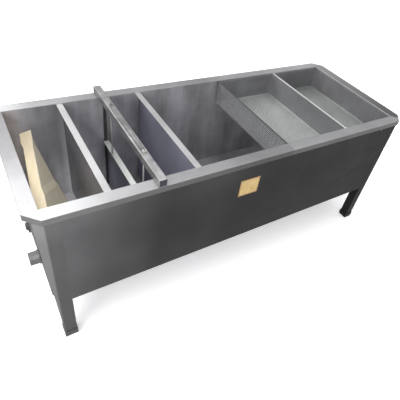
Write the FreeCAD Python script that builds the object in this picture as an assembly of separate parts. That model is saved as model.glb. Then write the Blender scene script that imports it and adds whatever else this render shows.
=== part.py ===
import FreeCAD, Part
import math
import os

# Stainless steel sluice and settling tank on four legs: a folded rim, cross partitions,
# a lift-out weir gate hung from a crossbar and two lift-out screening trays.
# Millimetres, +Z up. The origin is on the floor under the middle of the tank; +X runs along
# the tank from the outlet pipes (-X) to the trays (+X), and -Y is the side with the nameplate.

V = FreeCAD.Vector

# Overall size
length = 2000.0                 # over the rim
width = 750.0                   # over the rim
height = 765.0                  # floor to rim top
sheet = 2.0                     # tank, rim and panel sheet
gap = 0.3                       # between parts that lift off each other

# Rim
rim_flange = 55.0               # flat top of the rim
rim_fold = 28.0                 # depth of the down-turned outer edge
rim_chamfer = 52.0              # cut-off of each outer corner

# Tank, panels and legs
tank_underside = 205.0
panel_bottom = 266.0
panel_return = 18.0             # inward fold along the bottom of a side panel
end_panel_depth = 10.0
leg_size = 50.0
leg_wall = 3.0
leg_spread = 35.0               # how much wider the leg is at its top, on its outer side
leg_fold_back = 32.0            # that widening is folded back this far from the face
leg_straight = 40.0             # height above which the leg widens
leg_end_inset = 58.0            # rim end to the outer face of a leg
leg_side_inset = 3.0            # rim side to the outer face of a leg
foot_wall = 3.0
foot_base = 6.0
foot_height = 34.0
cup_gap = 0.4                   # cup to the outer side of a leg

# Partitions, as the X of each upright sheet's right face
partition_1_x = -693.0
partition_2_x = -311.0
partition_flange = 28.0
partition_drop = 2.0            # partition flange below the rim top

# Weir gate and its crossbar
gate_x = -494.5                 # middle of the gate plate
gate_thickness = 3.0
gate_top = 514.0
gate_flange_left = 20.5         # gate flange, left of the plate's middle
gate_flange_right = 8.5
gate_end_gap = 4.0              # plate edge to tank wall
guide_depth = 10.0
guide_back = 2.0
guide_slot = 6.0
guide_left = 8.0                # thin cheek of the guide
guide_right = 21.0              # broad cheek of the guide
guide_top_drop = 24.0
bar_x = -512.5
bar_size = 35.0
bar_wall = 2.5
rod_x = -510.0
rod_y = 190.0
rod_radius = 4.0
rod_hole_gap = 0.4
rod_below_flange = 14.0
rod_above_bar = 10.0
nut_flats = 13.0
nut_height = 6.5
washer_radius = 8.0
washer_thickness = 1.6

# Trays
tray_wall = 1.5
tray_floor_z = 628.3
tray_rim_top = 762.0
tray_rim_thickness = 2.0
tray_end_flange = 2.5           # tray rim beyond the walls, along X
tray_side_flange = 2.5          # tray rim beyond the walls, along Y
tray_side_gap = 2.0             # tray rim to tank wall
tray_1_left = 162.0
tray_split = 568.0              # middle of the gap between the two trays
tray_split_gap = 2.0
ledge_size = 20.0
ledge_sheet = 2.0

# Outlets on the left end
outlet_y = 100.0
outlet_z = 268.0
pipe_radius = 30.15
pipe_wall = 3.9
pipe_reach = 1000.0             # X distance from the tank's middle to the pipe's open end
thread_pitch = 6.0              # shown coarse, as shallow rings
thread_depth = 0.8
thread_rings = 4
collar_radius = 33.0
collar_length = 6.0
plug_radius = 33.0
plug_reach = 8.0
plug_square = 26.0
plug_square_length = 8.0

# Nameplate
plate_x = -67.0
plate_z = 612.5
plate_width = 108.0
plate_height = 95.0
plate_thickness = 1.2
rivet_radius = 3.0
rivet_height = 1.2
rivet_inset = 8.0

# Wooden board that leans in the first compartment: the corners that its broad face would have
# if it ran to sharp points, and the outlines of its narrow edge and of its broad face. Both
# outlines start at the top corner and run down the near edge.
board_top = V(-851.0, 285.0, 668.0)
board_foot_near = V(-868.4, 47.8, 200.0)
board_foot_far = V(-736.3, 265.9, 200.0)
board_edge_outline = [(-5.0, 0.0), (45.0, 0.0), (70.0, 4.0), (270.0, 7.0), (306.0, 0.0), (560.0, 0.0),
                      (560.0, 68.0), (306.0, 68.0), (270.0, 61.0), (76.0, 51.0), (56.0, 57.0), (10.0, 55.0)]
board_face_outline = [(-20.0, 0.0), (-20.0, 8.0), (35.0, 9.0), (560.0, 313.0), (560.0, 0.0)]
board_reach = 400.0             # longer than the board in any direction across its near edge

half_length = length / 2
half_width = width / 2
inner_x = half_length - rim_flange
inner_y = half_width - rim_flange
rim_underside = height - sheet
floor_top = tank_underside + sheet
leg_outer_x = half_length - leg_end_inset
leg_outer_y = half_width - leg_side_inset
leg_inner_x = leg_outer_x - leg_size
sides = {"front": -1, "back": 1}
ends = {"left": -1, "right": 1}


def box(x0, x1, y0, y1, z0, z1):
    """Block between two corners, whichever way round they are given."""
    low = V(min(x0, x1), min(y0, y1), min(z0, z1))
    return Part.makeBox(abs(x1 - x0), abs(y1 - y0), abs(z1 - z0), low)


def prism(points, z0, z1):
    """Upright prism on a plan outline."""
    corners = [V(x, y, z0) for x, y in points]
    face = Part.Face(Part.makePolygon(corners + corners[:1]))
    return face.extrude(V(0, 0, z1 - z0))


def cylinder(radius, start, direction, reach):
    return Part.makeCylinder(radius, reach, start, direction)


def hexagon_nut(x, y, z, bore):
    """Hexagon nut standing on z."""
    corner = nut_flats / math.sqrt(3)
    angles = [math.radians(60 * k) for k in range(6)]
    outline = [(x + corner * math.cos(a), y + corner * math.sin(a)) for a in angles]
    hole = cylinder(bore, V(x, y, z), V(0, 0, 1), nut_height)
    return prism(outline, z, z + nut_height).cut(hole)


def chamfered_outline(inset):
    """Plan outline of the rim, moved inwards by inset."""
    hx = half_length - inset
    hy = half_width - inset
    c = rim_chamfer - inset * (2 - math.sqrt(2))
    return [(-hx + c, -hy), (hx - c, -hy), (hx, -hy + c), (hx, hy - c),
            (hx - c, hy), (-hx + c, hy), (-hx, hy - c), (-hx, -hy + c)]


def make_rim():
    """Four mitred lengths of folded rim, cut from one ring."""
    ring = prism(chamfered_outline(0), height - rim_fold, height)
    ring = ring.cut(prism(chamfered_outline(sheet), height - rim_fold, rim_underside))
    ring = ring.cut(box(-inner_x, inner_x, -inner_y, inner_y, rim_underside, height))
    reach = 2 * rim_flange
    out_x = inner_x + reach
    out_y = inner_y + reach
    parts = {}
    for name, s in sides.items():
        wedge = [(-inner_x, s * inner_y), (inner_x, s * inner_y), (out_x, s * out_y), (-out_x, s * out_y)]
        parts["rim_" + name] = ring.common(prism(wedge, height - rim_fold, height))
    for name, e in ends.items():
        wedge = [(e * inner_x, -inner_y), (e * inner_x, inner_y), (e * out_x, out_y), (e * out_x, -out_y)]
        parts["rim_" + name] = ring.common(prism(wedge, height - rim_fold, height))
    return parts


def outlet_holes():
    """Round holes through the left end for the two outlets."""
    start_x = -inner_x - 2 * end_panel_depth
    reach = 3 * end_panel_depth
    holes = [cylinder(pipe_radius, V(start_x, -outlet_y, outlet_z), V(1, 0, 0), reach)]
    holes.append(cylinder(plug_radius, V(start_x, outlet_y, outlet_z), V(1, 0, 0), reach))
    return holes


def make_tank():
    """Inner tank: a floor, two long walls and two end walls."""
    outer_x = inner_x + sheet
    outer_y = inner_y + sheet
    parts = {"tank_floor": box(-outer_x, outer_x, -outer_y, outer_y, tank_underside, floor_top)}
    for name, s in sides.items():
        parts["tank_wall_" + name] = box(-outer_x, outer_x, s * inner_y, s * outer_y, floor_top, rim_underside)
    for name, e in ends.items():
        parts["tank_end_" + name] = box(e * inner_x, e * outer_x, -inner_y, inner_y, floor_top, rim_underside)
    for hole in outlet_holes():
        parts["tank_end_left"] = parts["tank_end_left"].cut(hole)
    return parts


def make_panels():
    """Outer side panels between the legs, and shallow folded pans on the two ends."""
    parts = {}
    for name, s in sides.items():
        face_y = s * leg_outer_y
        panel = box(-leg_inner_x, leg_inner_x, face_y, face_y - s * sheet, panel_bottom, rim_underside)
        fold = box(-leg_inner_x, leg_inner_x, face_y - s * sheet, face_y - s * panel_return,
                   panel_bottom, panel_bottom + sheet)
        parts["side_panel_" + name] = panel.fuse(fold).removeSplitter()
    root_x = inner_x + sheet
    face_x = root_x + end_panel_depth
    hy = inner_y + sheet
    for name, e in ends.items():
        pan = box(e * root_x, e * face_x, -hy, hy, panel_bottom, rim_underside)
        hollow = box(e * root_x, e * (face_x - sheet), -hy + sheet, hy - sheet,
                     panel_bottom + sheet, rim_underside)
        parts["end_panel_" + name] = pan.cut(hollow)
    for hole in outlet_holes():
        parts["end_panel_left"] = parts["end_panel_left"].cut(hole)
    return parts


def leg_outline(e, s, spread, inset):
    """Plan corners of a leg, moved inwards by inset; spread is how far its outer side stands out."""
    x0, x1 = e * (leg_inner_x + inset), e * (leg_outer_x - inset)
    x2 = e * (leg_outer_x - inset + spread)
    y0, y1 = s * (leg_outer_y - inset), s * (leg_outer_y - leg_size + inset)
    y2 = y0 - s * leg_fold_back * spread / leg_spread
    return [(x0, y0), (x1, y0), (x2, y2), (x2, y1), (x0, y1)]


def leg_solid(e, s, inset):
    """Leg filled solid: straight above the foot, then widening outwards up to the rim."""
    loops = []
    nearly_none = leg_spread / 100
    for z, spread in ((leg_straight, nearly_none), (rim_underside, leg_spread)):
        corners = [V(x, y, z) for x, y in leg_outline(e, s, spread, inset)]
        loops.append(Part.makePolygon(corners + corners[:1]))
    straight = prism(leg_outline(e, s, nearly_none, inset), foot_base, leg_straight)
    return straight.fuse(Part.makeLoft(loops, True, True))


def make_legs():
    """Folded sheet legs, square at the foot and wider at the top, with a cup foot on each."""
    parts = {}
    for side_name, s in sides.items():
        for end_name, e in ends.items():
            x0, x1 = e * leg_outer_x, e * leg_inner_x
            y0, y1 = s * leg_outer_y, s * (leg_outer_y - leg_size)
            f = foot_wall
            cup = box(x0 + e * f, x1 - e * f, y0 + s * f, y1 - s * f, 0, foot_height)
            place = side_name + "_" + end_name
            parts["leg_" + place] = leg_solid(e, s, 0).cut(leg_solid(e, s, leg_wall)).removeSplitter()
            parts["foot_cup_" + place] = cup.cut(box(x0 + e * cup_gap, x1, y0, y1, foot_base, foot_height))
    return parts


def make_partitions():
    """Upright cross sheets with a top flange folded towards -X."""
    top = height - partition_drop
    parts = {}
    for name, x in {"partition_1": partition_1_x, "partition_2": partition_2_x}.items():
        web = box(x - sheet, x, -inner_y, inner_y, floor_top, top)
        flange = box(x - partition_flange, x - sheet, -inner_y, inner_y, top - sheet, top)
        parts[name] = web.fuse(flange).removeSplitter()
    return parts


def make_gate_guides():
    """Upright slotted guides on both tank walls."""
    x0 = gate_x - guide_slot / 2 - guide_left
    x1 = gate_x + guide_slot / 2 + guide_right
    top = height - guide_top_drop
    parts = {}
    for name, s in sides.items():
        bar = box(x0, x1, s * inner_y, s * (inner_y - guide_depth), floor_top, top)
        slot = box(gate_x - guide_slot / 2, gate_x + guide_slot / 2,
                   s * (inner_y - guide_back), s * (inner_y - guide_depth), floor_top, top)
        parts["gate_guide_" + name] = bar.cut(slot)
    return parts


def make_gate():
    """Weir gate: plate, top flange, two hanger rods and their nuts and washers."""
    hy = inner_y - gate_end_gap
    plate = box(gate_x - gate_thickness / 2, gate_x + gate_thickness / 2, -hy, hy,
                floor_top + 1, gate_top - sheet)
    flange_hy = inner_y - guide_depth - guide_back
    flange = box(gate_x - gate_flange_left, gate_x + gate_flange_right, -flange_hy, flange_hy,
                 gate_top - sheet, gate_top)
    bar_top = height + gap + bar_size
    washer_z = bar_top + gap
    parts = {"gate_plate": plate}
    washers = []
    for name, s in sides.items():
        y = s * rod_y
        start = V(rod_x, y, gate_top - rod_below_flange)
        rod_length = bar_top + rod_above_bar - start.z
        parts["hanger_rod_" + name] = cylinder(rod_radius, start, V(0, 0, 1), rod_length)
        flange = flange.cut(cylinder(rod_radius, start, V(0, 0, 1), rod_length))
        washer = cylinder(washer_radius, V(rod_x, y, washer_z), V(0, 0, 1), washer_thickness)
        washers.append(washer.cut(cylinder(rod_radius, V(rod_x, y, washer_z), V(0, 0, 1), washer_thickness)))
        heights = [gate_top - sheet - nut_height, gate_top, washer_z + washer_thickness]
        lower, upper, head = [hexagon_nut(rod_x, y, z, rod_radius) for z in heights]
        parts["gate_nuts_" + name] = Part.makeCompound([lower, upper])
        parts["hanger_nut_" + name] = head
    parts["gate_flange"] = flange
    parts["hanger_washers"] = Part.makeCompound(washers)
    return parts


def make_crossbar():
    """Square tube across the rim with a plug in each end."""
    z0 = height + gap
    h = bar_size / 2
    inner = h - bar_wall
    bar = box(bar_x - h, bar_x + h, -half_width, half_width, z0, z0 + bar_size)
    bar = bar.cut(box(bar_x - inner, bar_x + inner, -half_width, half_width,
                      z0 + bar_wall, z0 + bar_size - bar_wall))
    for s in sides.values():
        start = V(rod_x, s * rod_y, z0)
        bar = bar.cut(cylinder(rod_radius + rod_hole_gap, start, V(0, 0, 1), bar_size))
    parts = {"crossbar": bar}
    for name, s in sides.items():
        parts["crossbar_plug_" + name] = box(bar_x - inner, bar_x + inner, s * half_width,
                                             s * (half_width - bar_size / 2),
                                             z0 + bar_wall, z0 + bar_size - bar_wall)
    return parts


def make_trays():
    """Two open baskets, each with a flat rim strip round the top."""
    spans = {"tray_1": (tray_1_left, tray_split - tray_split_gap / 2),
             "tray_2": (tray_split + tray_split_gap / 2, inner_x - tray_side_gap)}
    rim_y = inner_y - tray_side_gap
    wall_y = rim_y - tray_side_flange
    wall_top = tray_rim_top - tray_rim_thickness
    w = tray_wall
    parts = {}
    for name, (left, right) in spans.items():
        x0 = left + tray_end_flange
        x1 = right - tray_end_flange
        basket = box(x0, x1, -wall_y, wall_y, tray_floor_z, wall_top)
        basket = basket.cut(box(x0 + w, x1 - w, -wall_y + w, wall_y - w, tray_floor_z + w, wall_top))
        rim = box(left, right, -rim_y, rim_y, wall_top, tray_rim_top)
        rim = rim.cut(box(x0 + w, x1 - w, -wall_y + w, wall_y - w, wall_top, tray_rim_top))
        parts[name + "_basket"] = basket
        parts[name + "_rim"] = rim
    return parts


def make_ledges():
    """Angle ledges that carry the trays."""
    top = tray_floor_z - gap
    bottom = top - ledge_size
    parts = {}
    for name, s in sides.items():
        shelf = box(tray_1_left, inner_x, s * inner_y, s * (inner_y - ledge_size), top - ledge_sheet, top)
        upright = box(tray_1_left, inner_x, s * inner_y, s * (inner_y - ledge_sheet), bottom,
                      top - ledge_sheet)
        parts["tray_ledge_" + name] = shelf.fuse(upright).removeSplitter()
    hy = inner_y - ledge_size
    shelf = box(inner_x, inner_x - ledge_size, -hy, hy, top - ledge_sheet, top)
    upright = box(inner_x, inner_x - ledge_sheet, -hy, hy, bottom, top - ledge_sheet)
    parts["tray_ledge_end"] = shelf.fuse(upright).removeSplitter()
    return parts


def make_outlets():
    """Threaded drain nipple with a weld collar, and a plugged second outlet beside it."""
    start_x = -inner_x
    face_x = -(inner_x + sheet + end_panel_depth)
    reach = pipe_reach + start_x
    axis = V(-1, 0, 0)
    pipe = cylinder(pipe_radius, V(start_x, -outlet_y, outlet_z), axis, reach)
    for k in range(thread_rings):
        ring_x = -pipe_reach + (k + 0.5) * thread_pitch
        start = V(ring_x + thread_pitch / 4, -outlet_y, outlet_z)
        ring = cylinder(pipe_radius, start, axis, thread_pitch / 2)
        pipe = pipe.cut(ring.cut(cylinder(pipe_radius - thread_depth, start, axis, thread_pitch / 2)))
    bore = pipe_radius - pipe_wall
    pipe = pipe.cut(cylinder(bore, V(start_x, -outlet_y, outlet_z), axis, reach))
    collar = cylinder(collar_radius, V(face_x, -outlet_y, outlet_z), axis, collar_length)
    collar = collar.cut(cylinder(pipe_radius, V(face_x, -outlet_y, outlet_z), axis, collar_length))
    plug = cylinder(plug_radius, V(start_x, outlet_y, outlet_z), axis, start_x - face_x + plug_reach)
    s = plug_square / 2
    head_x = face_x - plug_reach
    head = box(head_x, head_x - plug_square_length, outlet_y - s, outlet_y + s, outlet_z - s, outlet_z + s)
    return {"outlet_pipe": pipe, "outlet_collar": collar, "outlet_plug": plug, "outlet_plug_head": head}


def make_nameplate():
    """Blank plate and four rivets on the front panel."""
    face_y = -leg_outer_y
    hw = plate_width / 2
    hh = plate_height / 2
    plate = box(plate_x - hw, plate_x + hw, face_y, face_y - plate_thickness, plate_z - hh, plate_z + hh)
    rivets = []
    for sx in (-1, 1):
        for sz in (-1, 1):
            start = V(plate_x + sx * (hw - rivet_inset), face_y - plate_thickness,
                      plate_z + sz * (hh - rivet_inset))
            rivets.append(cylinder(rivet_radius, start, V(0, -1, 0), rivet_height))
    return {"nameplate": plate, "nameplate_rivets": Part.makeCompound(rivets)}


def make_board():
    """Three-cornered wooden board with a wider head and foot, cut to stand on the tank floor."""
    down = (board_foot_near - board_top).normalize()
    across = down.cross(board_foot_far - board_top).normalize()
    across = across.cross(down).normalize()
    thick = across.cross(down)
    edge = [V(s, q, 0) for s, q in board_edge_outline]
    shank = Part.Face(Part.makePolygon(edge + edge[:1])).extrude(V(0, 0, board_reach))
    face = [V(s, 0, g) for s, g in board_face_outline]
    wedge = Part.Face(Part.makePolygon(face + face[:1])).extrude(V(0, board_reach, 0))
    board = shank.common(wedge)
    board.Placement = FreeCAD.Placement(FreeCAD.Matrix(
        down.x, thick.x, across.x, board_top.x,
        down.y, thick.y, across.y, board_top.y,
        down.z, thick.z, across.z, board_top.z,
        0, 0, 0, 1))
    room = box(-inner_x + 1, inner_x, -inner_y, inner_y - 2, floor_top + gap, height)
    return {"wood_board": board.common(room)}


def export(parts):
    os.makedirs("parts", exist_ok=True)
    for name, shape in sorted(parts.items()):
        shape.exportStep("parts/" + name + ".step")
        solids = len(shape.Solids)
        size = shape.BoundBox
        print("%-26s solids %d  valid %s  x %.1f..%.1f  y %.1f..%.1f  z %.1f..%.1f" % (
            name, solids, shape.isValid(), size.XMin, size.XMax, size.YMin, size.YMax, size.ZMin, size.ZMax))


all_parts = {}
for make in (make_tank, make_panels, make_rim, make_legs, make_partitions, make_gate_guides, make_gate,
             make_crossbar, make_trays, make_ledges, make_outlets, make_nameplate, make_board):
    all_parts.update(make())
export(all_parts)
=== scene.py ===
import math
import random

import bmesh
import bpy
from mathutils import Matrix, Vector


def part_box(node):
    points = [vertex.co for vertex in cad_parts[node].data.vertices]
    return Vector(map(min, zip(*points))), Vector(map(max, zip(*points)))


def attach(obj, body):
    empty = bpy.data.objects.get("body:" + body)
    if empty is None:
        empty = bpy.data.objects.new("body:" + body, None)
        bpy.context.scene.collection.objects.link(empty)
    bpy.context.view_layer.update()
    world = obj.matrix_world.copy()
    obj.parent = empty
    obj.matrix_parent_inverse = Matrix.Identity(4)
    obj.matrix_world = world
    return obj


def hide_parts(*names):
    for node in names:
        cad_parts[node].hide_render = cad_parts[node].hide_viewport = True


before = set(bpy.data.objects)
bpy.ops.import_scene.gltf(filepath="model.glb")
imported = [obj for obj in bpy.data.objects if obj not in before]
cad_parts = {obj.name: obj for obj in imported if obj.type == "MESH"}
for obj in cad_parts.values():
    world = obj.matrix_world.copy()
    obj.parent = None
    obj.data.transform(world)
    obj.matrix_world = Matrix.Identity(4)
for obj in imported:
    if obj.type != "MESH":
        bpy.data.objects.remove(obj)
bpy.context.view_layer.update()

MM = 0.001
X, Y, Z = 0, 1, 2
random.seed(11)


# ---------------------------------------------------------------- shader nodes

def material(name, **sockets):
    """New node material; the values given are set on the shader's own sockets."""
    mat = bpy.data.materials.new(name)
    mat.use_nodes = True
    shader = mat.node_tree.nodes["Principled BSDF"]
    for key, value in sockets.items():
        shader.inputs[key.replace("_", " ")].default_value = value
    return mat, mat.node_tree, shader


def put(tree, socket, value):
    """Links an output to a socket, or sets a plain value on it."""
    if isinstance(value, bpy.types.NodeSocket):
        tree.links.new(value, socket)
    else:
        socket.default_value = value


def coordinates(tree, kind="Object"):
    """The object's own coordinates, or its normals."""
    return tree.nodes.new("ShaderNodeTexCoord").outputs[kind]


def place_along(tree, axis):
    """Place along one axis of the object, in metres."""
    split = tree.nodes.new("ShaderNodeSeparateXYZ")
    tree.links.new(coordinates(tree), split.inputs[0])
    return split.outputs[axis]


def noise(tree, scale, stretch=(1, 1, 1), detail=4.0, roughness=0.55):
    """Noise over the object's own coordinates, stretched along its axes."""
    mapping = tree.nodes.new("ShaderNodeMapping")
    mapping.inputs["Scale"].default_value = stretch
    tree.links.new(coordinates(tree), mapping.inputs["Vector"])
    texture = tree.nodes.new("ShaderNodeTexNoise")
    texture.inputs["Scale"].default_value = scale
    texture.inputs["Detail"].default_value = detail
    texture.inputs["Roughness"].default_value = roughness
    tree.links.new(mapping.outputs["Vector"], texture.inputs["Vector"])
    return texture.outputs["Fac"]


def math_node(tree, kind, a, b):
    node = tree.nodes.new("ShaderNodeMath")
    node.operation = kind
    put(tree, node.inputs[0], a)
    put(tree, node.inputs[1], b)
    return node.outputs[0]


def dot_product(tree, vector, direction):
    """How far a vector reaches along a fixed direction."""
    node = tree.nodes.new("ShaderNodeVectorMath")
    node.operation = "DOT_PRODUCT"
    node.inputs[1].default_value = direction
    tree.links.new(vector, node.inputs[0])
    return node.outputs["Value"]


def map_range(tree, value, start, end, low=0.0, high=1.0, kind="LINEAR"):
    """Maps start..end onto low..high and holds the ends."""
    node = tree.nodes.new("ShaderNodeMapRange")
    node.interpolation_type = kind
    put(tree, node.inputs["Value"], value)
    node.inputs["From Min"].default_value = start
    node.inputs["From Max"].default_value = end
    node.inputs["To Min"].default_value = low
    node.inputs["To Max"].default_value = high
    return node.outputs["Result"]


NOISE_LOW, NOISE_HIGH = 0.25, 0.75      # nearly all of a noise lies between these


def spread(tree, value, low, high):
    """Maps a noise onto low..high."""
    return map_range(tree, value, NOISE_LOW, NOISE_HIGH, low, high)


def ramp(tree, value, stops):
    """Colour ramp; stops are (place, colour) with linear colours."""
    node = tree.nodes.new("ShaderNodeValToRGB")
    elements = node.color_ramp.elements
    while len(elements) < len(stops):
        elements.new(0.5)
    for element, (place, colour) in zip(elements, stops):
        element.position = place
        element.color = (*colour, 1)
    tree.links.new(value, node.inputs["Fac"])
    return node.outputs["Color"]


def blend_colours(tree, share, a, b, kind="MIX"):
    node = tree.nodes.new("ShaderNodeMix")
    node.data_type = "RGBA"
    node.blend_type = kind
    put(tree, node.inputs["Factor"], share)
    for socket, value in ((node.inputs[6], a), (node.inputs[7], b)):
        put(tree, socket, value if isinstance(value, bpy.types.NodeSocket) else (*value, 1))
    return node.outputs[2]


def bump(tree, shader, height, distance, strength):
    node = tree.nodes.new("ShaderNodeBump")
    node.inputs["Strength"].default_value = strength
    node.inputs["Distance"].default_value = distance
    tree.links.new(height, node.inputs["Height"])
    tree.links.new(node.outputs["Normal"], shader.inputs["Normal"])


def tones(tree, axis, stops):
    """Factor along an axis of the object; stops are (place in metres, grey or colour factor)."""
    start, end = stops[0][0], stops[-1][0]
    share = map_range(tree, place_along(tree, axis), start, end)
    steps = []
    for place, factor in stops:
        tint = factor if isinstance(factor, tuple) else (factor, factor, factor)
        steps.append(((place - start) / (end - start), tint))
    return ramp(tree, share, steps)


def grey(level, blue=0.0):
    """Neutral colour of this level, a little bluer if blue is above 0."""
    return (level, level, level * (1 + blue))


# ---------------------------------------------------------------- steel

BRUSH_X = (0.02, 1, 1)
BRUSH_Y = (1, 0.02, 1)
BRUSH_Z = (1, 1, 0.02)
EVEN = (1, 1, 1)
STREAK_SCALE, SMEAR_SCALE = 220.0, 14.0
SMEAR_SHARE = 0.2
STEEL_DARK_AT, STEEL_LIGHT_AT = 0.36, 0.64
STEEL_RELIEF, STEEL_RELIEF_STRENGTH = 0.12 * MM, 0.5


def steel(name, dark, light, metallic, rough, grain=EVEN, cloud=3.0, painted_shading=(), streak=0.2,
          cloud_shape=EVEN):
    """Mill-finish sheet steel: soft clouds, rolling streaks along the low axis of grain, and smears.
    streak is the streaks' share of the tone. The (axis, stops) pairs are painted light and shade:
    factors that lighten or darken the sheet along that axis."""
    mat, tree, shader = material(name, Metallic=metallic)
    clouds = noise(tree, cloud, cloud_shape, detail=3.0)
    streaks = noise(tree, STREAK_SCALE, grain, detail=6.0, roughness=0.7)
    smears = noise(tree, SMEAR_SCALE, detail=5.0, roughness=0.6)
    tone = math_node(tree, "MULTIPLY", clouds, 1 - SMEAR_SHARE - streak)
    tone = math_node(tree, "ADD", tone, math_node(tree, "MULTIPLY", streaks, streak))
    tone = math_node(tree, "ADD", tone, math_node(tree, "MULTIPLY", smears, SMEAR_SHARE))
    colour = ramp(tree, tone, [(STEEL_DARK_AT, dark), (STEEL_LIGHT_AT, light)])
    # Painted light and shade: each (axis, stops) pair multiplies the colour along that axis.
    for axis, stops in painted_shading:
        colour = blend_colours(tree, 1.0, colour, tones(tree, axis, stops), "MULTIPLY")
    tree.links.new(colour, shader.inputs["Base Color"])
    tree.links.new(spread(tree, smears, *rough), shader.inputs["Roughness"])
    bump(tree, shader, streaks, STEEL_RELIEF, STEEL_RELIEF_STRENGTH)
    return mat


def rim_fold_shade(factor):
    """Painted shade on the rim's downward fold: leaves the rim's top face and multiplies the fold by
    factor.
    """
    return (Z, [(0.737, factor), (0.763, factor), (0.7645, 1.0), (0.765, 1.0)])


def partition_painted_shading(face_low, face_high, flange, front, back):
    """Painted light and shade of a partition: factors for its face low and high, its top flange, and
    from front to back.
    """
    return [(Z, [(0.2, face_low), (0.757, face_high), (0.76, flange), (0.765, flange)]),
            (Y, [(-0.32, front), (0.32, back)])]


# Rims: painted light and shade along each rim, lighter where the lamps fell and darker away from
# them; the front and left rims also get painted shade on their folds.
rim_front_steel = steel(
    "rim_front_steel", grey(0.5, 0.01), grey(0.66, 0.01), 0.7, (0.34, 0.46), BRUSH_X,
    painted_shading=[(X, [(-1.0, 0.74), (-0.85, 0.68), (-0.7, 0.65), (-0.45, 0.64), (-0.25, 0.56),
                (-0.05, 0.43), (0.12, 0.49), (0.155, 0.5), (0.16, 0.62), (1.0, 0.72)]),
           rim_fold_shade(0.55)])
rim_back_steel = steel(
    "rim_back_steel", grey(0.45, 0.02), grey(0.6, 0.02), 0.7, (0.34, 0.46), BRUSH_X,
    painted_shading=[(X, [(-1.0, 0.62), (-0.8, 0.42), (-0.5, 0.55), (0.1, 0.55), (0.2, 0.7), (1.0, 0.85)])])
rim_left_steel = steel(
    "rim_left_steel", grey(0.5, 0.02), grey(0.64, 0.02), 0.7, (0.34, 0.46), BRUSH_Y,
    painted_shading=[(Y, [(-0.375, 0.68), (-0.3, 0.6), (0.0, 0.3), (0.375, 0.21)]), rim_fold_shade(0.6)])
rim_right_steel = steel(
    "rim_right_steel", grey(0.45), grey(0.6), 0.7, (0.34, 0.46), BRUSH_Y,
    painted_shading=[(Y, [(-0.375, 0.26), (-0.25, 0.28), (0.0, 0.48), (0.375, 0.64)])])
# Side panels: painted light, lighter at the left end and near the top, and painted shade, darker
# towards the right.
panel_steel = steel(
    "panel_steel", grey(0.115, 0.04), grey(0.185, 0.04), 0.7, (0.34, 0.5), BRUSH_X, cloud=2.6,
    painted_shading=[(X, [(-0.9, 1.1), (-0.75, 0.86), (-0.5, 0.42), (-0.25, 0.42), (0.05, 0.3),
                (0.45, 0.29), (0.9, 0.14)]),
           (Z, [(0.26, 0.9), (0.6, 0.9), (0.74, 1.15)])],
    streak=0.05)
end_pan_steel = steel("end_pan_steel", grey(0.07), grey(0.11), 0.7, (0.34, 0.5), BRUSH_Y)
# Legs: painted light on the outer wing of the left legs and painted shade, darker towards the right;
# they are also lighter near the top under the rim.
leg_steel = steel(
    "leg_steel", grey(0.2), grey(0.28), 0.7, (0.34, 0.5), BRUSH_Z,
    painted_shading=[(X, [(-0.978, 1.1), (-0.946, 1.1), (-0.941, 0.62), (-0.6, 0.6), (0.6, 0.08),
                (0.978, 0.08)]),
           (Z, [(0.3, 1.0), (0.62, 1.0), (0.73, 1.25)])])
# Inside walls: painted light and shade along the tank, lighter and warmer at the left end, a darker
# band a little in from it, darker towards the right.
wall_steel = steel(
    "wall_steel", grey(0.3, 0.02), grey(0.82, 0.05), 0.35, (0.3, 0.46), BRUSH_Z, cloud=6.0,
    painted_shading=[(X, [(-0.945, (1.45, 1.32, 1.18)), (-0.87, 1.05), (-0.82, 0.62), (-0.73, 0.45),
                (-0.68, 0.88), (-0.3, 1.0), (-0.1, 0.76), (0.15, 0.7), (0.945, 0.68)])],
    streak=0.12, cloud_shape=(1, 1, 0.2))
floor_steel = steel(
    "floor_steel", grey(0.24, 0.03), grey(0.46, 0.04), 0.3, (0.3, 0.46), BRUSH_X, cloud=5.0)
# Partitions: painted light and shade, darker faces, lighter top flanges, darker towards the back.
partition_1_steel = steel(
    "partition_1_steel", grey(0.4), grey(0.56), 0.4, (0.3, 0.44), BRUSH_Z, cloud=4.0,
    painted_shading=partition_painted_shading((0.3, 0.3, 0.34), (0.36, 0.36, 0.4), 0.82, 1.0, 0.9))
partition_2_steel = steel(
    "partition_steel", grey(0.4), grey(0.56), 0.4, (0.3, 0.44), BRUSH_Z, cloud=4.0,
    painted_shading=partition_painted_shading((0.8, 0.8, 1.0), (0.8, 0.8, 1.0), 0.9, 0.92, 0.76))
cross_steel = steel(
    "cross_steel", (0.3, 0.3, 0.37), (0.55, 0.55, 0.66), 0.35, (0.28, 0.42), BRUSH_Z, cloud=4.0)
gate_steel = steel(
    "gate_steel", (0.66, 0.68, 0.64), (0.8, 0.82, 0.78), 0.4, (0.36, 0.5), BRUSH_Y)
# Guides: painted shade, a dark strip down the guide's channel.
guide_steel = steel(
    "guide_steel", grey(0.3), grey(0.5), 0.4, (0.35, 0.5), BRUSH_Z, cloud=8.0,
    painted_shading=[(X, [(-0.506, 0.2), (-0.495, 0.2), (-0.493, 0.9), (-0.47, 0.9)])])
# Crossbar: painted shade, darker towards the back.
bar_steel = steel(
    "bar_steel", grey(0.2), grey(0.46), 0.7, (0.36, 0.55), BRUSH_Y, cloud=26.0,
    painted_shading=[(Y, [(-0.375, 1.0), (0.375, 0.72)])])
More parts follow.
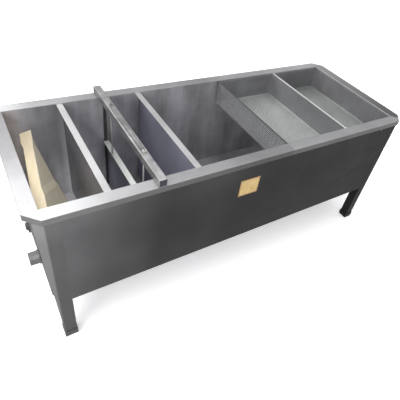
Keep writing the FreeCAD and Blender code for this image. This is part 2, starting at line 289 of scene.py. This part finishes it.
# Baskets and trims: painted light and shade, the basket walls lighter towards the back, the second
# tray's floor darker, and the trims darker at the left end with a painted highlight along the
# divider and at the right end.
tray_steel = steel(
    "tray_steel", grey(0.24, 0.02), grey(0.34, 0.04), 0.5, (0.4, 0.52), BRUSH_Z, cloud=6.0,
    painted_shading=[(Y, [(-0.32, 0.8), (0.1, 1.0), (0.32, 1.2)])])
tray_floor_steel = steel(
    "tray_floor_steel", (0.42, 0.44, 0.42), (0.54, 0.56, 0.54), 0.5, (0.45, 0.6), BRUSH_X,
    cloud=5.0, painted_shading=[(X, [(0.55, 1.0), (0.6, 0.75)])])
tray_rim_steel = steel(
    "trim_steel", grey(0.62), grey(0.78), 0.5, (0.26, 0.4), BRUSH_Y,
    painted_shading=[(X, [(0.16, 0.12), (0.168, 0.12), (0.17, 0.3), (0.55, 0.3), (0.565, 1.0),
                (0.572, 1.0), (0.59, 0.35), (0.938, 0.4), (0.941, 0.95)])])
pipe_steel = steel(
    "pipe_steel", grey(0.15), grey(0.26), 0.55, (0.5, 0.66), BRUSH_X, cloud=18.0)
plug_steel = steel(
    "plug_steel", grey(0.07), grey(0.13), 0.5, (0.5, 0.66), BRUSH_X, cloud=18.0)
rod_steel = steel("rod_steel", grey(0.2), grey(0.34), 0.6, (0.3, 0.45), cloud=60.0)
zinc = steel("zinc", (0.45, 0.45, 0.42), (0.68, 0.68, 0.64), 0.6, (0.25, 0.4), cloud=60.0)
bright_zinc = steel(
    "bright_zinc", (0.7, 0.68, 0.6), (0.9, 0.88, 0.8), 0.5, (0.3, 0.45), cloud=60.0)
weld_steel = steel("weld_steel", (0.3, 0.29, 0.28), grey(0.75), 0.6, (0.3, 0.5), cloud=160.0)
seam_steel = steel("seam_steel", grey(0.12), grey(0.3), 0.6, (0.3, 0.5), cloud=160.0)


# ---------------------------------------------------------------- plastic, brass and wood

def make_black_plastic():
    mat, tree, shader = material("black_plastic", Roughness=0.5)
    fine = noise(tree, 900.0, detail=3.0)
    dark, light = (0.025, 0.025, 0.04), (0.05, 0.05, 0.075)
    colour = ramp(tree, noise(tree, 60.0), [(0.3, dark), (0.7, light)])
    tree.links.new(colour, shader.inputs["Base Color"])
    bump(tree, shader, fine, 0.1 * MM, 0.4)
    return mat


def make_brass(name, low, high, worn):
    """Brushed brass that varies from low to high and is worn along its brushing."""
    mat, tree, shader = material(name, Metallic=0.25)
    brushed = noise(tree, 400.0, (0.03, 1, 1), detail=5.0, roughness=0.7)
    patches = noise(tree, 30.0)
    colour = ramp(tree, patches, [(0.3, low), (0.7, high)])
    colour = blend_colours(tree, spread(tree, brushed, 0.0, 0.35), colour, worn)
    tree.links.new(colour, shader.inputs["Base Color"])
    tree.links.new(spread(tree, brushed, 0.35, 0.55), shader.inputs["Roughness"])
    bump(tree, shader, brushed, 0.05 * MM, 0.5)
    return mat


# The board's top corner, the feet of its near edge and of its far side, and the line of its far
# edge, which starts this far down and back from the top corner.
board_top = Vector((-0.851, 0.285, 0.668))
board_foot_near = Vector((-0.8684, 0.0478, 0.2))
board_foot_far = Vector((-0.7363, 0.2659, 0.2))
far_edge_down, far_edge_back = 0.035, 0.009
far_edge_run, far_edge_rise = 0.866, 0.5

board_down = (board_foot_near - board_top).normalized()
board_back = board_foot_far - board_top
board_back = (board_back - board_down * board_back.dot(board_down)).normalized()
far_edge_out = board_back * far_edge_run - board_down * far_edge_rise
far_edge_start = board_top + board_down * far_edge_down + board_back * far_edge_back
far_edge_place = far_edge_start.dot(far_edge_out)


def make_wood(name, pale, brown):
    """Sawn softwood: faint long growth lines, fine fibres, dark specks, painted shade that greys the
    broad faces and leaves the near edge pale, and a browner far edge low down."""
    mat, tree, shader = material(name, Specular_IOR_Level=0.2)
    lines = noise(tree, 34.0, (1, 1, 0.12), detail=3.0, roughness=0.6)
    fibres = noise(tree, 420.0, (1, 1, 0.05), detail=5.0, roughness=0.7)
    specks = noise(tree, 90.0, (1, 1, 0.6), detail=2.0)
    line_colour = [p * 0.7 + b * 0.3 for p, b in zip(pale, brown)]
    speck_colour = [level * 0.6 for level in brown]
    shade_tint = (0.64, 0.66, 0.72)
    edge_brown = (0.42, 0.2, 0.08)

    colour = ramp(tree, lines, [(0.35, pale), (0.75, line_colour)])
    colour = blend_colours(tree, spread(tree, fibres, 0.0, 0.12), colour, brown)
    speck = map_range(tree, specks, 0.72, 0.78)
    colour = blend_colours(tree, speck, colour, speck_colour)

    # Painted shade: the broad faces are greyed and darkened, the near edge that faces the light
    # stays pale.
    near_edge = dot_product(tree, coordinates(tree, "Normal"), -board_back)
    unshaded_share = map_range(tree, near_edge, 0.5, 0.75)
    shaded = blend_colours(tree, 1.0, colour, shade_tint, "MULTIPLY")
    colour = blend_colours(tree, unshaded_share, shaded, colour)

    beyond = dot_product(tree, coordinates(tree), far_edge_out)
    far_edge = map_range(tree, beyond, far_edge_place - 7 * MM, far_edge_place - 2 * MM)
    low_down = map_range(tree, place_along(tree, Z), 0.46, 0.3, kind="SMOOTHSTEP")
    browned = math_node(tree, "MULTIPLY", far_edge, low_down)
    browned = math_node(tree, "MULTIPLY", browned, 0.7)
    colour = blend_colours(tree, browned, colour, edge_brown)

    tree.links.new(colour, shader.inputs["Base Color"])
    tree.links.new(spread(tree, fibres, 0.55, 0.8), shader.inputs["Roughness"])
    bump(tree, shader, fibres, 0.4 * MM, 0.6)
    return mat


black_plastic = make_black_plastic()
plate_brass = make_brass("plate_brass", (0.62, 0.42, 0.14), (0.78, 0.56, 0.24), (0.7, 0.62, 0.4))
border_brass = make_brass("border_brass", (0.4, 0.18, 0.05), (0.55, 0.27, 0.09), (0.5, 0.3, 0.16))
board_wood = make_wood("board_wood", (0.95, 0.86, 0.64), (0.74, 0.58, 0.35))


# ---------------------------------------------------------------- finishes of the CAD nodes

finishes = {
    "rim_front": rim_front_steel, "rim_back": rim_back_steel,
    "rim_left": rim_left_steel, "rim_right": rim_right_steel,
    "side_panel_front": panel_steel, "side_panel_back": panel_steel,
    "end_panel_left": end_pan_steel, "end_panel_right": end_pan_steel,
    "tank_wall_front": wall_steel, "tank_wall_back": wall_steel,
    "tank_end_left": wall_steel, "tank_end_right": wall_steel, "tank_floor": floor_steel,
    "partition_1": partition_1_steel, "partition_2": partition_2_steel,
    "gate_plate": cross_steel, "gate_flange": gate_steel,
    "gate_guide_front": guide_steel, "gate_guide_back": guide_steel,
    "gate_nuts_front": zinc, "gate_nuts_back": zinc, "hanger_washers": zinc,
    "hanger_nut_front": bright_zinc, "hanger_nut_back": rod_steel,
    "hanger_rod_front": rod_steel, "hanger_rod_back": rod_steel,
    "crossbar": bar_steel,
    "crossbar_plug_front": black_plastic, "crossbar_plug_back": black_plastic,
    "tray_1_rim": tray_rim_steel, "tray_2_rim": tray_rim_steel,
    "tray_1_basket": tray_steel, "tray_2_basket": tray_steel,
    "tray_ledge_front": wall_steel, "tray_ledge_back": wall_steel, "tray_ledge_end": wall_steel,
    "outlet_pipe": pipe_steel, "outlet_collar": pipe_steel,
    "outlet_plug": plug_steel, "outlet_plug_head": plug_steel,
    "nameplate": plate_brass, "nameplate_rivets": zinc,
    "wood_board": board_wood,
}
sheet_edge_radius = 0.6
edge_radius = {"crossbar": 3.0, "nameplate": 0.4, "wood_board": 2.0}
for leg in ("front_left", "front_right", "back_left", "back_right"):
    finishes["leg_" + leg] = leg_steel
    finishes["foot_cup_" + leg] = leg_steel
    edge_radius["leg_" + leg] = 2.5


def finish_object(obj, mat, smooth=False):
    obj.data.materials.clear()
    obj.data.materials.append(mat)
    for face in obj.data.polygons:
        face.material_index = 0
        face.use_smooth = smooth


def soften(obj, width, segments):
    """Rounds the sharp edges of a folded sheet, tube or board."""
    weld = obj.modifiers.new("weld", "WELD")
    weld.merge_threshold = 0.01 * MM
    bevel = obj.modifiers.new("bevel", "BEVEL")
    bevel.width = width
    bevel.segments = segments
    bevel.limit_method = "ANGLE"
    bevel.angle_limit = math.radians(50)
    bevel.use_clamp_overlap = True
    bevel.harden_normals = False


for name, mat in finishes.items():
    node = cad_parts[name]
    finish_object(node, mat)
    radius = edge_radius.get(name, sheet_edge_radius)
    soften(node, radius * MM, 3 if radius > 1 else 2)


# ---------------------------------------------------------------- helpers for pieces

def piece(name, mesh, mat, body, smooth=True):
    """New piece that rides on a body."""
    obj = bpy.data.objects.new(name, mesh)
    bpy.context.scene.collection.objects.link(obj)
    finish_object(obj, mat, smooth)
    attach(obj, body)
    return obj


def new_mesh(name, verts, faces, join=0.0):
    """Closed mesh with its normals outwards; points nearer than join are made one."""
    mesh = bpy.data.meshes.new(name)
    mesh.from_pydata([tuple(v) for v in verts], [], faces)
    build = bmesh.new()
    build.from_mesh(mesh)
    if join:
        bmesh.ops.remove_doubles(build, verts=build.verts, dist=join)
        bmesh.ops.dissolve_degenerate(build, edges=build.edges, dist=join)
    bmesh.ops.recalc_face_normals(build, faces=build.faces)
    build.to_mesh(mesh)
    build.free()
    return mesh


# ---------------------------------------------------------------- perforated baskets

hole_pitch = 10.0 * MM
hole_radius = 3.4 * MM
hole_border = 7.0 * MM
row_spacing = math.sqrt(0.75)       # rows of staggered holes, in pitches
basket_sheet = 1.2 * MM
basket_gap = 0.1 * MM


def perforated_sheet(corner, across, up, thickness):
    """Vertices and faces of a sheet with staggered round holes.
    corner is the sheet's low corner; across and up are its full edges; thickness is the third."""
    width, height = across.length, up.length
    right_way, up_way = across.normalized(), up.normalized()
    columns = int((width - 2 * hole_border) / hole_pitch)
    rows = int((height - 2 * hole_border) / (hole_pitch * row_spacing))
    cell_w = (width - 2 * hole_border) / columns
    cell_h = (height - 2 * hole_border) / rows
    right, top = 2 * columns, 2 * rows
    verts, faces, shared = [], [], {}

    def point(x, y, side):
        verts.append(corner + right_way * x + up_way * y + thickness * side)

    def grid_place(steps, last, cell_size, full):
        """Place of a grid line; half cells are counted, and the outermost lines are the edges."""
        if steps < 0:
            return 0.0
        if steps > last:
            return full
        return hole_border + steps * cell_size / 2

    def vertex(u, v, side):
        """Grid vertex, shared by the cells round it; u and v count half cells."""
        key = (u, v, side)
        if key not in shared:
            shared[key] = len(verts)
            point(grid_place(u, right, cell_w, width), grid_place(v, top, cell_h, height), side)
        return shared[key]

    def cell(u0, v0):
        """One holed cell whose low corner is at half-cell (u0, v0)."""
        ring = [(u0, v0), (u0 + 1, v0), (u0 + 2, v0), (u0 + 2, v0 + 1), (u0 + 2, v0 + 2),
                (u0 + 1, v0 + 2), (u0, v0 + 2), (u0, v0 + 1)]
        centre_x = hole_border + (u0 + 1) * cell_w / 2
        centre_y = hole_border + (v0 + 1) * cell_h / 2
        count = len(ring)
        base = len(verts)
        for side in (0, 1):
            for k in range(count):
                angle = math.radians(225 + 45 * k)
                point(centre_x + hole_radius * math.cos(angle),
                      centre_y + hole_radius * math.sin(angle), side)
        for side in (0, 1):
            outer = [vertex(u, v, side) for u, v in ring]
            low = base + count * side
            for k in range(count):
                m = (k + 1) % count
                face = (outer[k], outer[m], low + m, low + k)
                faces.append(face if side else face[::-1])
        for k in range(count):
            m = (k + 1) % count
            faces.append((base + k, base + m, base + count + m, base + count + k))

    def plain(corners):
        """Plain face on both sides of the sheet."""
        faces.append(tuple(vertex(u, v, 1) for u, v in corners))
        faces.append(tuple(vertex(u, v, 0) for u, v in reversed(corners)))

    def square(u, v):
        """Plain square of one half cell."""
        plain([(u, v), (u + 1, v), (u + 1, v + 1), (u, v + 1)])

    for row in range(rows):
        v0 = 2 * row
        if row % 2 == 0:
            for column in range(columns):
                cell(2 * column, v0)
        else:
            plain([(0, v0), (1, v0), (1, v0 + 1), (1, v0 + 2), (0, v0 + 2), (0, v0 + 1)])
            for column in range(columns - 1):
                cell(2 * column + 1, v0)
            plain([(right - 1, v0), (right, v0), (right, v0 + 1), (right, v0 + 2),
                   (right - 1, v0 + 2), (right - 1, v0 + 1)])
    for u in range(right):
        square(u, -1)
        square(u, top)
    for v in range(top):
        square(-1, v)
        square(right, v)
    for u, v in ((-1, -1), (right, -1), (right, top), (-1, top)):
        square(u, v)
    edge = [(u, -1) for u in range(-1, right + 1)]
    edge += [(right + 1, v) for v in range(-1, top + 1)]
    edge += [(u, top + 1) for u in range(right + 1, -1, -1)]
    edge += [(-1, v) for v in range(top + 1, -1, -1)]
    for k, (u, v) in enumerate(edge):
        p, q = edge[(k + 1) % len(edge)]
        faces.append((vertex(u, v, 0), vertex(p, q, 0), vertex(p, q, 1), vertex(u, v, 1)))
    return verts, faces


def make_basket(tray):
    """Perforated floor and four perforated walls in the place of the tray's plain basket."""
    low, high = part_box(tray + "_basket")
    t = basket_sheet
    width, depth, height = high - low
    between = low.x + t + basket_gap, width - 2 * t - 2 * basket_gap
    sheets = {
        "floor": ((low.x + t, low.y + t, low.z),
                  (width - 2 * t, 0, 0), (0, depth - 2 * t, 0), (0, 0, t)),
        "wall_left": (low, (0, depth, 0), (0, 0, height), (t, 0, 0)),
        "wall_right": ((high.x - t, low.y, low.z), (0, depth, 0), (0, 0, height), (t, 0, 0)),
        "wall_front": ((between[0], low.y, low.z),
                       (between[1], 0, 0), (0, 0, height), (0, t, 0)),
        "wall_back": ((between[0], high.y - t, low.z),
                      (between[1], 0, 0), (0, 0, height), (0, t, 0)),
    }
    for part, edges in sheets.items():
        name = tray + "_" + part
        mesh = new_mesh(name, *perforated_sheet(*[Vector(edge) for edge in edges]))
        mat = tray_floor_steel if part == "floor" else tray_steel
        obj = piece(name, mesh, mat, tray, smooth=False)
        if part == "floor":
            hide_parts(tray + "_basket")


make_basket("tray_1")
make_basket("tray_2")


# ---------------------------------------------------------------- welds, rivets and threads

same_point = 0.001 * MM
bead_sides = 8
bead_ripple_pitch = 0.6             # in bead radii
bead_flatness = 0.8
bead_swell, bead_ripple, bead_ripple_turn, bead_unevenness, bead_end = 0.78, 0.22, 1.3, 0.05, 0.35
dome_levels = (0.0, 0.35, 0.7, 0.92, 1.0)
dome_tip = 0.02
dome_sides = 16
thread_sides = 12


def tube(rings):
    """Vertices and faces of a closed skin over rings of equal length, capped at both ends."""
    count = len(rings[0])
    verts = [v for ring in rings for v in ring]
    faces = [tuple(range(count))[::-1], tuple(range(len(verts) - count, len(verts)))]
    for j in range(len(rings) - 1):
        for k in range(count):
            m = (k + 1) % count
            faces.append((j * count + k, j * count + m, (j + 1) * count + m, (j + 1) * count + k))
    return verts, faces


def weld_bead(name, start, end, radius, up, mat=weld_steel):
    """Half-sunk bead with overlapping ripples from start to end; up points away from the sheet."""
    start, end, up = Vector(start), Vector(end), Vector(up)
    run = end - start
    side = run.normalized().cross(up)
    steps = max(int(run.length / (radius * bead_ripple_pitch)), 4)
    rings = []
    for j in range(steps + 1):
        uneven = random.uniform(-bead_unevenness, bead_unevenness)
        swell = bead_swell + bead_ripple * abs(math.sin(j * bead_ripple_turn)) + uneven
        if j in (0, steps):
            swell = bead_end
        centre = start + run * j / steps
        ring = []
        for k in range(bead_sides):
            angle = math.tau * k / bead_sides
            outwards = side * math.cos(angle) + up * math.sin(angle) * bead_flatness
            ring.append(centre + outwards * radius * swell)
        rings.append(ring)
    mesh = new_mesh(name, *tube(rings), join=same_point)
    return piece(name, mesh, mat, "tank")


def rivet(name, centre, radius, height):
    """Low domed head on a face that looks towards -Y."""
    centre, out = Vector(centre), Vector((0, -1, 0))
    side = out.orthogonal().normalized()
    other = out.cross(side)
    rings = []
    for share in dome_levels:
        r = radius * math.sqrt(max(1 - share * share, dome_tip * dome_tip))
        level = centre + out * height * share
        ring = []
        for k in range(dome_sides):
            angle = math.tau * k / dome_sides
            ring.append(level + (side * math.cos(angle) + other * math.sin(angle)) * r)
        rings.append(ring)
    mesh = new_mesh(name, *tube(rings), join=same_point)
    return piece(name, mesh, zinc, "tank")


def threaded_rod(node, pitch, depth):
    """Helical thread over the whole rod, in the place of the plain one."""
    low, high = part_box(node)
    centre_x, centre_y = (low.x + high.x) / 2, (low.y + high.y) / 2
    outer = (high.x - low.x) / 2
    count = thread_sides
    rings = []
    for j in range(-2, int(2 * (high.z - low.z) / pitch) + 3):
        radius = outer if j % 2 == 0 else outer - depth
        ring = []
        for k in range(count):
            angle = math.tau * k / count
            z = min(max(low.z + (j / 2 + k / count) * pitch, low.z), high.z)
            ring.append((centre_x + radius * math.cos(angle),
                         centre_y + radius * math.sin(angle), z))
        rings.append(ring)
    verts = [v for ring in rings for v in ring]
    faces = []
    for j in range(len(rings) - 1):
        for k in range(count):
            m, lift = (k + 1) % count, 2 if k == count - 1 else 0
            if j + 1 + lift < len(rings):
                faces.append((j * count + k, (j + lift) * count + m,
                              (j + 1 + lift) * count + m, (j + 1) * count + k))
    name = node + "_thread"
    mesh = new_mesh(name, verts, faces, join=same_point)
    obj = piece(name, mesh, rod_steel, "weir_gate", smooth=False)
    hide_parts(node)


def plate_border(name, node, margin, width, height):
    """Thin raised border just inside the edges of a plate that faces -Y."""
    low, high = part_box(node)
    middle_x, middle_z = (low.x + high.x) / 2, (low.z + high.z) / 2
    outer = [(low.x + margin, low.z + margin), (high.x - margin, low.z + margin),
             (high.x - margin, high.z - margin), (low.x + margin, high.z - margin)]
    inner = [(x + math.copysign(width, middle_x - x), z + math.copysign(width, middle_z - z))
             for x, z in outer]
    verts = [(x, y, z) for y in (low.y, low.y - height) for x, z in outer + inner]
    faces = []
    for k in range(4):
        m = (k + 1) % 4
        faces += [(k, m, 4 + m, 4 + k), (8 + k, 12 + k, 12 + m, 8 + m),
                  (k, 8 + k, 8 + m, m), (4 + k, 4 + m, 12 + m, 12 + k)]
    mesh = new_mesh(name, verts, faces, join=same_point)
    return piece(name, mesh, border_brass, "tank", smooth=False)


rim_low, rim_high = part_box("rim_front")
rim_outside, rim_inside = abs(rim_low.y), abs(rim_high.y)
rim_seam_x, rim_seam_slant = 0.157, 0.004
rim_seam_end = 0.003
leg_weld_from, leg_weld_to, leg_weld_drop = 0.006, 0.047, 0.001
flange_weld_end = 0.003
wall_weld_gap = 0.001
corner_set = 0.0025
corner_weld_top, corner_weld_bottom = 0.03, 0.01

for side_name, s in (("front", -1), ("back", 1)):
    weld_bead("rim_seam_" + side_name, (rim_seam_x, s * (rim_outside - rim_seam_end), rim_high.z),
              (rim_seam_x + rim_seam_slant, s * rim_inside, rim_high.z), 0.9 * MM, (0, 0, 1),
              seam_steel)
    for end_name, e in (("left", -1), ("right", 1)):
        leg = "leg_%s_%s" % (side_name, end_name)
        low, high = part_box(leg)
        y = s * max(abs(low.y), abs(high.y))
        inner_x = min(abs(low.x), abs(high.x))
        z = rim_low.z - leg_weld_drop
        weld_bead(leg + "_weld", (e * (inner_x + leg_weld_from), y, z),
                  (e * (inner_x + leg_weld_to), y, z), 1.6 * MM, (0, s, 0))
for partition in ("partition_1", "partition_2"):
    low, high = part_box(partition)
    for side_name, s in (("front", -1), ("back", 1)):
        y = s * (rim_inside - wall_weld_gap)
        weld_bead("%s_weld_%s" % (partition, side_name), (low.x + flange_weld_end, y, high.z),
                  (high.x - flange_weld_end, y, high.z), 1.8 * MM, (0, 0, 1))
        corner_x = high.x - corner_set
        weld_bead("%s_foot_weld_%s" % (partition, side_name),
                  (corner_x, y, high.z - corner_weld_top),
                  (corner_x, y, low.z + corner_weld_bottom), 2.2 * MM, (0, -s, 0), seam_steel)

panel_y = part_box("leg_front_right")[0].y
rivet("panel_rivet", (0.816, panel_y, 0.731), radius=3.6 * MM, height=1.6 * MM)
rivet("wall_rivet", (-0.702, rim_inside, 0.452), radius=4.0 * MM, height=2.0 * MM)
for rod in ("hanger_rod_front", "hanger_rod_back"):
    threaded_rod(rod, pitch=1.25 * MM, depth=0.65 * MM)
plate_border("nameplate_border", "nameplate", margin=2 * MM, width=2.2 * MM, height=0.4 * MM)


# ---------------------------------------------------------------- camera, light and stage

camera_place = (-1.0423, -1.3562, 1.7728)
camera_yaw, camera_pitch, camera_roll = 0.6972, 0.6945, 0.2061
camera_sensor, camera_lens = 36.0, 35.151
camera_shift = (-0.0624, -0.0511)
sky_direction = (-0.45, 0.45, 0.77)
floor_half = 20.0
floor_drop = 0.5 * MM


def in_scene(name, data):
    obj = bpy.data.objects.new(name, data)
    bpy.context.scene.collection.objects.link(obj)
    return obj


def make_camera():
    """Camera at the photograph's viewing angle: place, turn, tilt and roll."""
    sin_yaw, cos_yaw = math.sin(camera_yaw), math.cos(camera_yaw)
    sin_pitch, cos_pitch = math.sin(camera_pitch), math.cos(camera_pitch)
    sin_roll, cos_roll = math.sin(camera_roll), math.cos(camera_roll)
    forward = Vector((sin_yaw * cos_pitch, cos_yaw * cos_pitch, -sin_pitch))
    level = Vector((cos_yaw, -sin_yaw, 0))
    above = level.cross(forward)
    right = level * cos_roll + above * sin_roll
    up = above * cos_roll - level * sin_roll
    data = bpy.data.cameras.new("camera")
    data.sensor_width = camera_sensor
    data.lens = camera_lens
    data.shift_x, data.shift_y = camera_shift
    data.clip_end = 100.0
    camera = in_scene("camera", data)
    turn = Matrix((right, up, -forward)).transposed().to_4x4()
    camera.matrix_world = Matrix.Translation(camera_place) @ turn
    bpy.context.scene.camera = camera


def make_lamp(name, kind, place, target, power, **settings):
    """Lamp at a place that points at a target."""
    data = bpy.data.lights.new(name, kind)
    data.energy = power
    for key, value in settings.items():
        setattr(data, key, value)
    lamp = in_scene(name, data)
    lamp.location = place
    lamp.rotation_euler = (Vector(target) - Vector(place)).to_track_quat("-Z", "Y").to_euler()


def make_world():
    """Soft white room, brighter above the far left than low on the right."""
    world = bpy.data.worlds.new("room")
    world.use_nodes = True
    bpy.context.scene.world = world
    tree = world.node_tree
    height = dot_product(tree, coordinates(tree, "Generated"), Vector(sky_direction).normalized())
    sky = ramp(tree, height, [(0.0, (0.34, 0.34, 0.35)), (0.55, (0.62, 0.62, 0.64)),
                              (0.8, (1.1, 1.1, 1.12)), (1.0, (1.7, 1.7, 1.72))])
    tree.links.new(sky, tree.nodes["Background"].inputs["Color"])
    tree.nodes["Background"].inputs["Strength"].default_value = 1.0


def make_stage():
    """Plain pale floor, with a little light of its own; reflections see it darker."""
    mat, tree, shader = material("pale_floor", Roughness=0.9, Specular_IOR_Level=0.1,
                                  Emission_Color=(1, 1, 1, 1), Emission_Strength=0.3)
    path = tree.nodes.new("ShaderNodeLightPath")
    pale, reflected = (1.0, 1.0, 1.0), (0.25, 0.24, 0.23)
    colour = blend_colours(tree, path.outputs["Is Glossy Ray"], pale, reflected)
    tree.links.new(colour, shader.inputs["Base Color"])
    mesh = bpy.data.meshes.new("floor")
    half = floor_half
    corners = [(-half, -half, 0), (half, -half, 0), (half, half, 0), (-half, half, 0)]
    mesh.from_pydata(corners, [], [(0, 1, 2, 3)])
    mesh.materials.append(mat)
    floor = in_scene("floor", mesh)
    floor.location.z = -floor_drop


make_camera()
make_world()
make_lamp("window", "AREA", (-1.5, 3.2, 3.4), (-0.4, 0, 0.6), 90,
          shape="RECTANGLE", size=3.0, size_y=2.0)
make_lamp("doorway", "AREA", (-3.2, -1.6, 2.6), (-0.8, 0.05, 0.5), 55,
          shape="RECTANGLE", size=1.6, size_y=1.6)
make_lamp("board_lamp", "SPOT", (-1.06, -1.3, 2.0), (-0.87, 0.11, 0.38), 160,
          spot_size=math.radians(20), spot_blend=0.9, shadow_soft_size=0.12)
make_lamp("ceiling", "AREA", (0.5, -0.5, 4.0), (0, 0, 0.5), 60,
          shape="RECTANGLE", size=4.0, size_y=3.0)
make_stage()
bpy.context.scene.view_settings.view_transform = "Standard"
